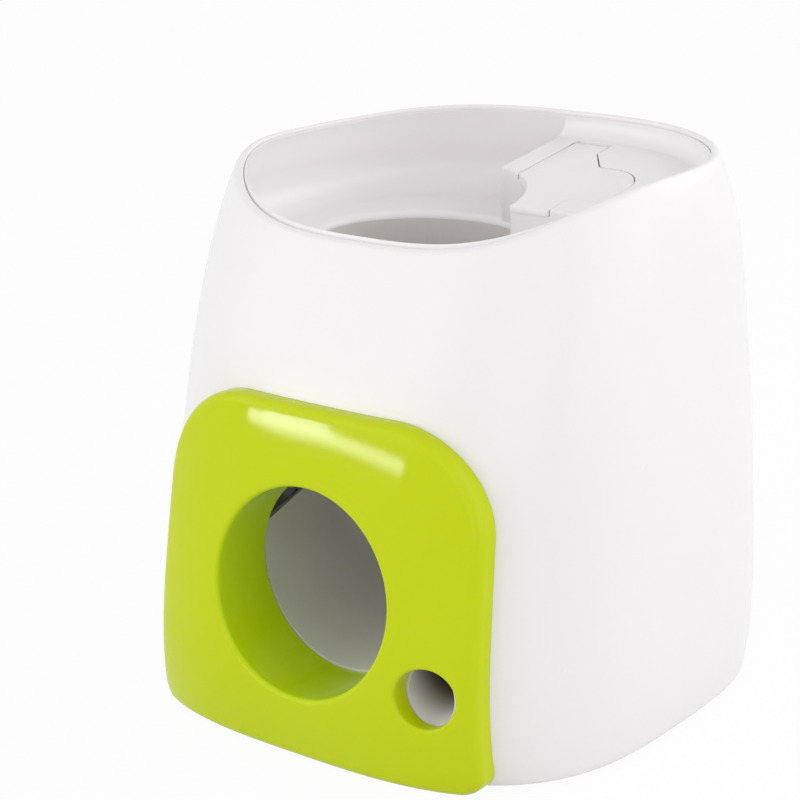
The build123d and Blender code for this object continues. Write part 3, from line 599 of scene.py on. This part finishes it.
# From the drop hole's collar over its lip, across the floor, up the round and the wall, and back below
def makeDish():
    a = np.linspace(0, 2 * np.pi, dish["around"], endpoint=False)
    ones = np.ones_like(a)
    holeX, holeY, holeR = ballPath["holeX"], ballPath["holeY"], ballPath["holeR"]
    floorZ, underZ = dish["floorZ"], dish["floorZ"] - dish["floorWall"]
    rows = []

    def atHole(radius, z):
        rows.append(np.stack([holeX + radius * np.cos(a), holeY + radius * np.sin(a), z * ones], -1))

    def atWall(z, inset, grow):
        x, y = wallPoint(a, z * ones, inset * ones, grow)
        rows.append(np.stack([x, y, z * ones], -1))

    def across(first, last, z, count):
        for share in np.linspace(0, 1, count)[1:-1]:
            flat = (first * (1 - share) + last * share)[:, :2]
            rows.append(np.concatenate([flat, z * ones[:, None]], -1))

    atHole(dish["tubeR"], underZ - dish["collarDepth"])
    atHole(dish["tubeR"], underZ)
    atHole(holeR, underZ)
    atHole(holeR, underZ + dish["lipLand"])
    for bend in np.linspace(0, np.pi / 2, dish["lipSteps"])[1:]:
        out, drop = dish["lipWidth"] * (1 - np.cos(bend)), dish["lipDrop"] * (1 - np.sin(bend))
        atHole(holeR + out, floorZ - drop)
    lipRow = rows[-1]
    tipR = dish["tip"] / 2
    top, roundR = dishTop(a), dishRound(a)
    atWall(floorZ, roundR, innerGrow)
    startRow = rows.pop()
    across(lipRow, startRow, floorZ, dish["floorRows"])
    for bend in np.linspace(0, np.pi / 2, dish["roundSteps"]):
        atWall(floorZ + roundR * (1 - np.cos(bend)), roundR * (1 - np.sin(bend)), innerGrow)
    low = floorZ + roundR
    for share in np.linspace(0, 1, dish["wallRows"])[1:]:
        z = low + share * (top - low)
        atWall(z, 0.0, dishInner(a, z))
    for bend in np.linspace(0, np.pi, dish["edgeSteps"] + 1)[1:-1]:
        atWall(top + tipR * np.sin(bend), 0.0, tipGrow - tipR * (1 + np.cos(bend)))
    for share in np.linspace(1, 0, dish["wallRows"]):
        atWall(low + share * (top - low), 0.0, outerGrow + share ** 3 * (tipGrow - outerGrow))
    bigR = low - underZ
    for bend in np.linspace(np.pi / 2, 0, dish["roundSteps"])[1:]:
        atWall(underZ + bigR * (1 - np.cos(bend)), bigR * (1 - np.sin(bend)), outerGrow)
    endRow = rows[-1]
    atHole(dish["tubeR"] + dish["collarWall"], underZ)
    collarRow = rows.pop()
    across(endRow, collarRow, underZ, dish["floorRows"])
    rows.append(collarRow)
    atHole(dish["tubeR"] + dish["collarWall"], underZ - dish["collarDepth"])
    quads = gridQuads(len(rows), dish["around"], True, True).reshape(-1, 4)
    return makeObject("funnelTray", np.concatenate(rows), quads)


# Plan of the deck, inset by a given amount: arc round the drop hole, left side, dish wall, front side
def deckPlan(inset, intoWall):
    radius = deck["arcR"] + inset
    frontY, leftX = deck["frontY"] + inset, deck["leftX"] + inset
    holeX, holeY = ballPath["holeX"], ballPath["holeY"]
    first = np.arcsin((frontY - holeY) / radius)
    last = np.arccos((leftX - holeX) / radius)
    turn = np.linspace(first, last, deck["arcSteps"])
    arc = np.stack([holeX + radius * np.cos(turn), holeY + radius * np.sin(turn)], -1)

    def wallAt(a):
        z = deckHeight(np.full_like(a, deck["guessY"]))
        for again in range(rounds["deck"]):
            x, y = bodyRing(a, z, innerGrow + intoWall)
            z = deckHeight(y)
        return np.stack([x, y], -1)

    a = np.linspace(deck["searchFrom"], deck["searchTo"], deck["searchSteps"])
    ends = wallAt(a)
    start = a[np.argmin(np.abs(ends[:, 1] - frontY) + (ends[:, 0] < 0))]
    end = a[np.argmin(np.abs(ends[:, 0] - leftX) + (ends[:, 1] < 0))]
    wallLine = wallAt(np.linspace(end, start, deck["wallSteps"]))
    return np.concatenate([arc, wallLine]), start, end


# Square-to-path direction of a closed plan, to the inside of a plan that runs anticlockwise.
# It is longer at a corner, so that both sides move in alike, but not past the sharpest corner allowed for.
def inward(plan, sharpest=0.4):
    after = np.roll(plan, -1, 0) - plan
    after /= np.linalg.norm(after, axis=1)[:, None]
    before = np.roll(after, 1, 0)
    side = np.stack([-(after + before)[:, 1], (after + before)[:, 0]], -1)
    side /= np.linalg.norm(side, axis=1)[:, None]
    square = np.stack([-after[:, 1], after[:, 0]], -1)
    return side / np.clip((side * square).sum(1), sharpest, 1)[:, None]


# The plan turned round if the area that its corners give, side by side, is negative
def anticlockwise(plan):
    x, y = plan.T
    area = (x * np.roll(y, -1) - np.roll(x, -1) * y).sum()
    return plan if area > 0 else plan[::-1]


# A slab along the deck: its plan carried down a profile with a rounded top edge, and a cap on each side
def slab(name, plan, top, bottom, edge=0.0, steps=1):
    plan = anticlockwise(plan)
    toInside = inward(plan)
    rows = []
    for bend in np.linspace(0, np.pi / 2, steps):
        flat = plan + toInside * edge * (1 - np.sin(bend))
        rows.append((flat, top - edge * (1 - np.cos(bend))))
    rows.append((plan, bottom))
    points = [np.stack([p[:, 0], p[:, 1], deckHeight(p[:, 1]) + z], -1) for p, z in rows]
    count = len(plan)
    faces = gridQuads(len(rows), count, closeCols=True).reshape(-1, 4).tolist()
    faces += [list(range(count)), list(range((len(rows) - 1) * count, len(rows) * count))]
    return makeObject(name, np.concatenate(points), faces)


# A plan with rounded corners: each corner with a radius becomes an arc tangent to both its sides
def roundedPlan(corners, steps=10):
    out = []
    count = len(corners)
    for i, (x, y, radius) in enumerate(corners):
        here = np.array([x, y])
        if radius == 0:
            out.append(here)
            continue
        back = np.array(corners[i - 1][:2]) - here
        ahead = np.array(corners[(i + 1) % count][:2]) - here
        back, ahead = back / np.linalg.norm(back), ahead / np.linalg.norm(ahead)
        halfTurn = np.arccos(np.clip(back @ ahead, -1, 1)) / 2
        middle = (back + ahead) / np.linalg.norm(back + ahead)
        centre = here + middle * radius / np.sin(halfTurn)
        start = here + back * radius / np.tan(halfTurn)
        end = here + ahead * radius / np.tan(halfTurn)
        for share in np.linspace(0, 1, steps):
            chord = (start * (1 - share) + end * share) - centre
            out.append(centre + chord / np.linalg.norm(chord) * radius)
    return np.array(out)


# Plan of the lid: finger tab in front, round shoulder on the right, tongue to the hinge, arc by the hole
def lidPlan(grow):
    tongueEnd = lid["tongueX"] + lid["tongueW"]
    frontY = deck["frontY"] - lid["nose"] - grow
    radius = deck["arcR"] + lid["seat"] - grow
    holeX, holeY = ballPath["holeX"], ballPath["holeY"]
    leftX = lid["tongueX"] - grow
    arcStart = np.arccos((leftX - holeX) / radius)
    arcEnd = np.arcsin((frontY - holeY) / radius)
    turn = np.linspace(arcStart, arcEnd, lid["arcSteps"])
    arc = np.stack([holeX + radius * np.cos(turn), holeY + radius * np.sin(turn)], -1)
    corner = lid["cornerR"]
    corners = roundedPlan([
        (arc[-1][0], frontY, 0),
        (lid["tabX"] + grow, frontY, lid["noseR"]),
        (lid["tabX"] + grow, lid["tabY"] - grow, corner - grow),
        (lid["rightX"] + grow, lid["tabY"] - grow, corner + grow),
        (lid["rightX"] + grow, lid["shoulderY"] + grow, lid["shoulderR"] + grow),
        (tongueEnd + lid["flare"] + grow, lid["shoulderY"] + grow, corner - grow),
        (tongueEnd + grow, lid["hingeY"] - lid["straight"], 0),
        (tongueEnd + grow, lid["hingeY"] + grow, 0),
        (leftX, lid["hingeY"] + grow, 0),
    ])
    return np.concatenate([corners, arc[:-1]])


# Deck: a slab cut for the lid and the hopper's mouth, a skirt down to the floor, and a cove up to the wall
def makeDeck():
    plan, start, end = deckPlan(0.0, deck["intoWall"])
    top = slab("hopperDeck", plan, 0.0, -deck["thick"], deck["edgeR"], deck["edgeSteps"])
    finishMesh(top)
    above = deck["cutAbove"]
    recess = slab("recess", lidPlan(lid["gap"]), above, -lid["thick"])
    edge = lid["mouthEdge"]
    x0, x1 = lid["mouthX"], lid["rightX"] - edge
    y0, y1 = lid["tabY"] + edge, lid["shoulderY"] - edge
    mouthPlan = roundedPlan([(x0, y0, edge), (x1, y0, edge), (x1, y1, edge), (x0, y1, edge)])
    mouth = slab("mouth", mouthPlan, above, -above)
    clear = lid["barrelR"] + lid["gap"]
    left, right = lid["tongueX"] - lid["gap"], lid["tongueX"] + lid["tongueW"] + lid["gap"]
    near, far = lid["hingeY"] - 2 * clear, lid["hingeY"] + clear
    slotPlan = np.array([(left, near), (right, near), (right, far), (left, far)])
    slot = slab("hingeSlot", slotPlan, above, -above)
    cutAway(top, [recess, mouth, slot])

    # Skirt: an upright wall carried along the left side, the arc and the front side
    outer, inner = deckPlan(deck["hairline"], 0.0)[0], deckPlan(deck["skirt"], 0.0)[0]
    count = deck["arcSteps"]
    path = np.concatenate([outer[-1:], outer[:count + 1]])
    within = np.concatenate([inner[-1:], inner[:count + 1]])
    footZ = dish["floorZ"] - dish["floorWall"] + deck["rooted"]
    low, high = [], []
    for line in (path, within):
        low.append(np.concatenate([line, np.full((len(line), 1), footZ)], -1))
        high.append(np.concatenate([line, deckHeight(line[:, 1:]) - deck["thick"] + deck["rooted"]], -1))
    skirtRows = np.concatenate([low[0], high[0], high[1], low[1]])
    skirt = makeObject("skirt", skirtRows, barFaces(4, len(path)))

    # Cove: a quarter circle hollow from the deck up to the wall, carried along the wall, closed behind
    a = np.linspace(start, end, deck["wallSteps"])
    coveR, sunk = deck["coveR"], deck["intoWall"]
    rows = []
    for bend in np.linspace(0, np.pi / 2, deck["coveSteps"]):
        inset, lift = coveR * (1 - np.sin(bend)), coveR * (1 - np.cos(bend))
        z = deckHeight(np.full_like(a, deck["guessY"]))
        for again in range(rounds["deck"]):
            x, y = wallPoint(a, z, inset, dishInner(a, z))
            z = deckHeight(y) + lift
        rows.append(np.stack([x, y, z], -1))
    for z in (rows[-1][:, 2], rows[0][:, 2] - sunk):
        rows.append(np.stack([*wallPoint(a, z, -sunk, dishInner(a, z)), z], -1))
    rows.append(rows[0] - np.array([0, 0, sunk]))
    cove = makeObject("cove", np.concatenate(rows), barFaces(len(rows), len(a)))

    # Lugs: a round bar on each side of the hinge slot, under the deck
    reach = deck["lugLength"]
    parts = [skirt, cove, hingeBar("lug", left, left - reach), hingeBar("lug", right, right + reach)]
    for part in parts:
        finishMesh(part)
    joinParts(top, parts)
    return finishMesh(top, sharpAngle=0.5, outward=False)


# The dish is open under the deck, except for a ledge that carries the deck's skirt
def makeTray():
    bowl = makeDish()
    finishMesh(bowl)
    plan = deckPlan(deck["skirt"] + deck["ledge"], deck["pastWall"])[0]
    below = slab("belowDeck", plan, -deck["thick"], -deck["cutBelow"])
    cutAway(bowl, [below])
    return finishMesh(bowl, sharpAngle=0.5, outward=False)


funnelTray = dress(makeTray(), "shell_white", "housing", "funnel_tray")
print("funnel tray:", len(funnelTray.data.polygons), "faces")
hopperDeck = dress(makeDeck(), "shell_white", "housing", "hopper_deck")
print("hopper deck:", len(hopperDeck.data.polygons), "faces")


# Lid: a slab with a rounded edge, and the hinge barrel under its tongue
def makeLid():
    plate = slab("hopperLid", lidPlan(0.0), 0.0, -lid["thick"], lid["edgeR"], lid["edgeSteps"])
    finishMesh(plate)
    barrel = hingeBar("barrel", lid["tongueX"], lid["tongueX"] + lid["tongueW"])
    finishMesh(barrel)
    joinParts(plate, [barrel])
    return finishMesh(plate, sharpAngle=0.5, outward=False)


hopperLid = dress(makeLid(), "shell_white", "lid", "hopper_lid")
print("hopper lid:", len(hopperLid.data.polygons), "faces")

# The other pieces keep their solid's form: a merged copy of each node, shaded smooth, with its own finish
slotOf = {row["node"]: row["material_slot"] for row in frame["record"]["subparts"]}
made = {"outer_shell", "front_panel", "funnel_tray", "hopper_deck", "hopper_lid"}


# A name of one word gets a second, so that no piece shares its node's name
def camelName(node):
    first, *rest = node.split("_")
    return first + "".join(word.capitalize() for word in rest or ["block"])


for node in sorted(set(nodes) - made):
    copy = bpy.data.objects.new(camelName(node), nodes[node].data.copy())
    bpy.context.scene.collection.objects.link(copy)
    finishMesh(copy, sharpAngle=0.45, outward=False)
    if node == "drop_tube":
        # The dish's rounded lip covers the tube's end, so the tube stops under the floor
        points = np.empty(3 * len(copy.data.vertices), np.float32)
        copy.data.vertices.foreach_get("co", points)
        points[2::3] = np.minimum(points[2::3], bodyOrigin[2] + dish["floorZ"] - dish["floorWall"])
        copy.data.vertices.foreach_set("co", points)
        copy.data.update()
    dress(copy, slotOf[node], nodes[node]["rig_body"], node)
    if node == "treat_chute":
        # Painted shade: the chute is painted dark brown further in from its end, where shade falls inside
        # the tube
        paintedShadeChute = finish["inner_white"].copy()
        paintedShadeChute.name = "chute_dusty"
        addPaintedShading(paintedShadeChute, dict(centre=(0, treatPath["endY"] + bodyOrigin[1], 0), scale=(0, 1, 0),
                             none=0.0, full=treatPath["dustDepth"], colour=treatPath["dustColour"]))
        copy.data.materials[0] = paintedShadeChute
print("inner pieces dressed:", len(nodes) - len(made))

# Camera: a pinhole fitted to the outline, the rim, the panel and both holes, in body coordinates
camera = {"place": (0.419217, -0.600456, 0.315859), "back": (0.5743, -0.7682, 0.2831),
          "lens": 96.32, "sensor": 36.0}


def makeCamera():
    data = bpy.data.cameras.new("viewCamera")
    data.lens = camera["lens"]
    data.sensor_width = camera["sensor"]
    obj = bpy.data.objects.new("viewCamera", data)
    bpy.context.scene.collection.objects.link(obj)
    obj.location = Vector(np.array(camera["place"]) + bodyOrigin)
    obj.rotation_euler = (-Vector(camera["back"])).to_track_quat("-Z", "Y").to_euler()
    bpy.context.scene.camera = obj


makeCamera()

# Light: a pale world, four soft panels, and a narrow strip with a wider end, which gives the bar of light
# on the green front. Places and sizes in metres, power in watts.
lamps = {
    "frontSoftbox": dict(place=(-0.70, -1.00, 0.62), aim=(0.0, 0.0, 0.10), size=(1.30, 1.00), power=4.6),
    "sideSoftbox": dict(place=(1.15, 0.20, 0.60), aim=(0.0, 0.0, 0.10), size=(1.40, 1.20), power=6.2),
    "backSoftbox": dict(place=(0.45, 1.15, 0.75), aim=(0.0, 0.0, 0.10), size=(1.00, 0.80), power=3.2),
    "nearFill": dict(place=(0.74, -0.94, 0.45), aim=(0.0, 0.0, 0.10), size=(0.90, 0.90), power=1.7),
    "stripLight": dict(place=(-0.62, -1.09, 0.102), aim=(0.0, -0.09, 0.108), size=(0.64, 0.032),
                       power=1.25),
    "stripEnd": dict(place=(-0.76, -1.02, 0.128), aim=(0.0, -0.09, 0.112), size=(0.16, 0.040),
                     power=0.38),
}
for name, spec in lamps.items():
    data = bpy.data.lights.new(name, "AREA")
    data.shape = "RECTANGLE"
    data.size, data.size_y = spec["size"]
    data.energy = spec["power"]
    lamp = bpy.data.objects.new(name, data)
    bpy.context.scene.collection.objects.link(lamp)
    lamp.location = spec["place"]
    towards = Vector(spec["aim"]) - Vector(spec["place"])
    lamp.rotation_euler = towards.to_track_quat("-Z", "Y").to_euler()


# One for rays that show the background: straight from the camera, or by way of a mirror or glass
def backgroundRays(tree):
    rays = tree.nodes.new("ShaderNodeLightPath")
    total = rays.outputs["Is Camera Ray"]
    for kind in ("Is Glossy Ray", "Is Transmission Ray"):
        larger = tree.nodes.new("ShaderNodeMath")
        larger.operation = "MAXIMUM"
        tree.links.new(total, larger.inputs[0])
        tree.links.new(rays.outputs[kind], larger.inputs[1])
        total = larger.outputs[0]
    return total


# World: white, with one strength as light on the object and another where it is seen
room = {"light": 0.60, "seen": 1.0}
world = bpy.data.worlds.new("paleRoom")
bpy.context.scene.world = world
world.use_nodes = True
worldTree = world.node_tree
skyShade = worldTree.nodes["Background"]
skyShade.inputs["Color"].default_value = (1, 1, 1, 1)
strength = worldTree.nodes.new("ShaderNodeMapRange")
strength.inputs["To Min"].default_value = room["light"]
strength.inputs["To Max"].default_value = room["seen"]
worldTree.links.new(backgroundRays(worldTree), strength.inputs["Value"])
worldTree.links.new(strength.outputs["Result"], skyShade.inputs["Strength"])

# Floor: a wide pale sheet that keeps the object's shadow. Lift is the share of white where it is seen.
floorSpec = {"half": 6.0, "shade": (0.70, 0.70, 0.70), "rough": 0.9, "lift": 0.96, "below": 0.0002}


def makeFloor():
    half = floorSpec["half"]
    z = -floorSpec["below"]
    corners = np.array([(-half, -half, z), (half, -half, z), (half, half, z), (-half, half, z)])
    obj = makeObject("studioFloor", corners - bodyOrigin, [[0, 1, 2, 3]])
    material = bpy.data.materials.new("floorPale")
    material.use_nodes = True
    tree = material.node_tree
    shader = tree.nodes["Principled BSDF"]
    shader.inputs["Base Color"].default_value = (*floorSpec["shade"], 1)
    shader.inputs["Roughness"].default_value = floorSpec["rough"]
    glow = tree.nodes.new("ShaderNodeEmission")
    glow.inputs["Color"].default_value = (1, 1, 1, 1)
    glow.inputs["Strength"].default_value = 1.0
    share = tree.nodes.new("ShaderNodeMath")
    share.operation = "MULTIPLY"
    share.inputs[1].default_value = floorSpec["lift"]
    mix = tree.nodes.new("ShaderNodeMixShader")
    tree.links.new(backgroundRays(tree), share.inputs[0])
    tree.links.new(share.outputs[0], mix.inputs["Fac"])
    tree.links.new(shader.outputs["BSDF"], mix.inputs[1])
    tree.links.new(glow.outputs["Emission"], mix.inputs[2])
    tree.links.new(mix.outputs["Shader"], tree.nodes["Material Output"].inputs["Surface"])
    obj.data.materials.append(material)


makeFloor()
bpy.context.scene.view_settings.view_transform = "Standard"
print("camera, light and floor set")
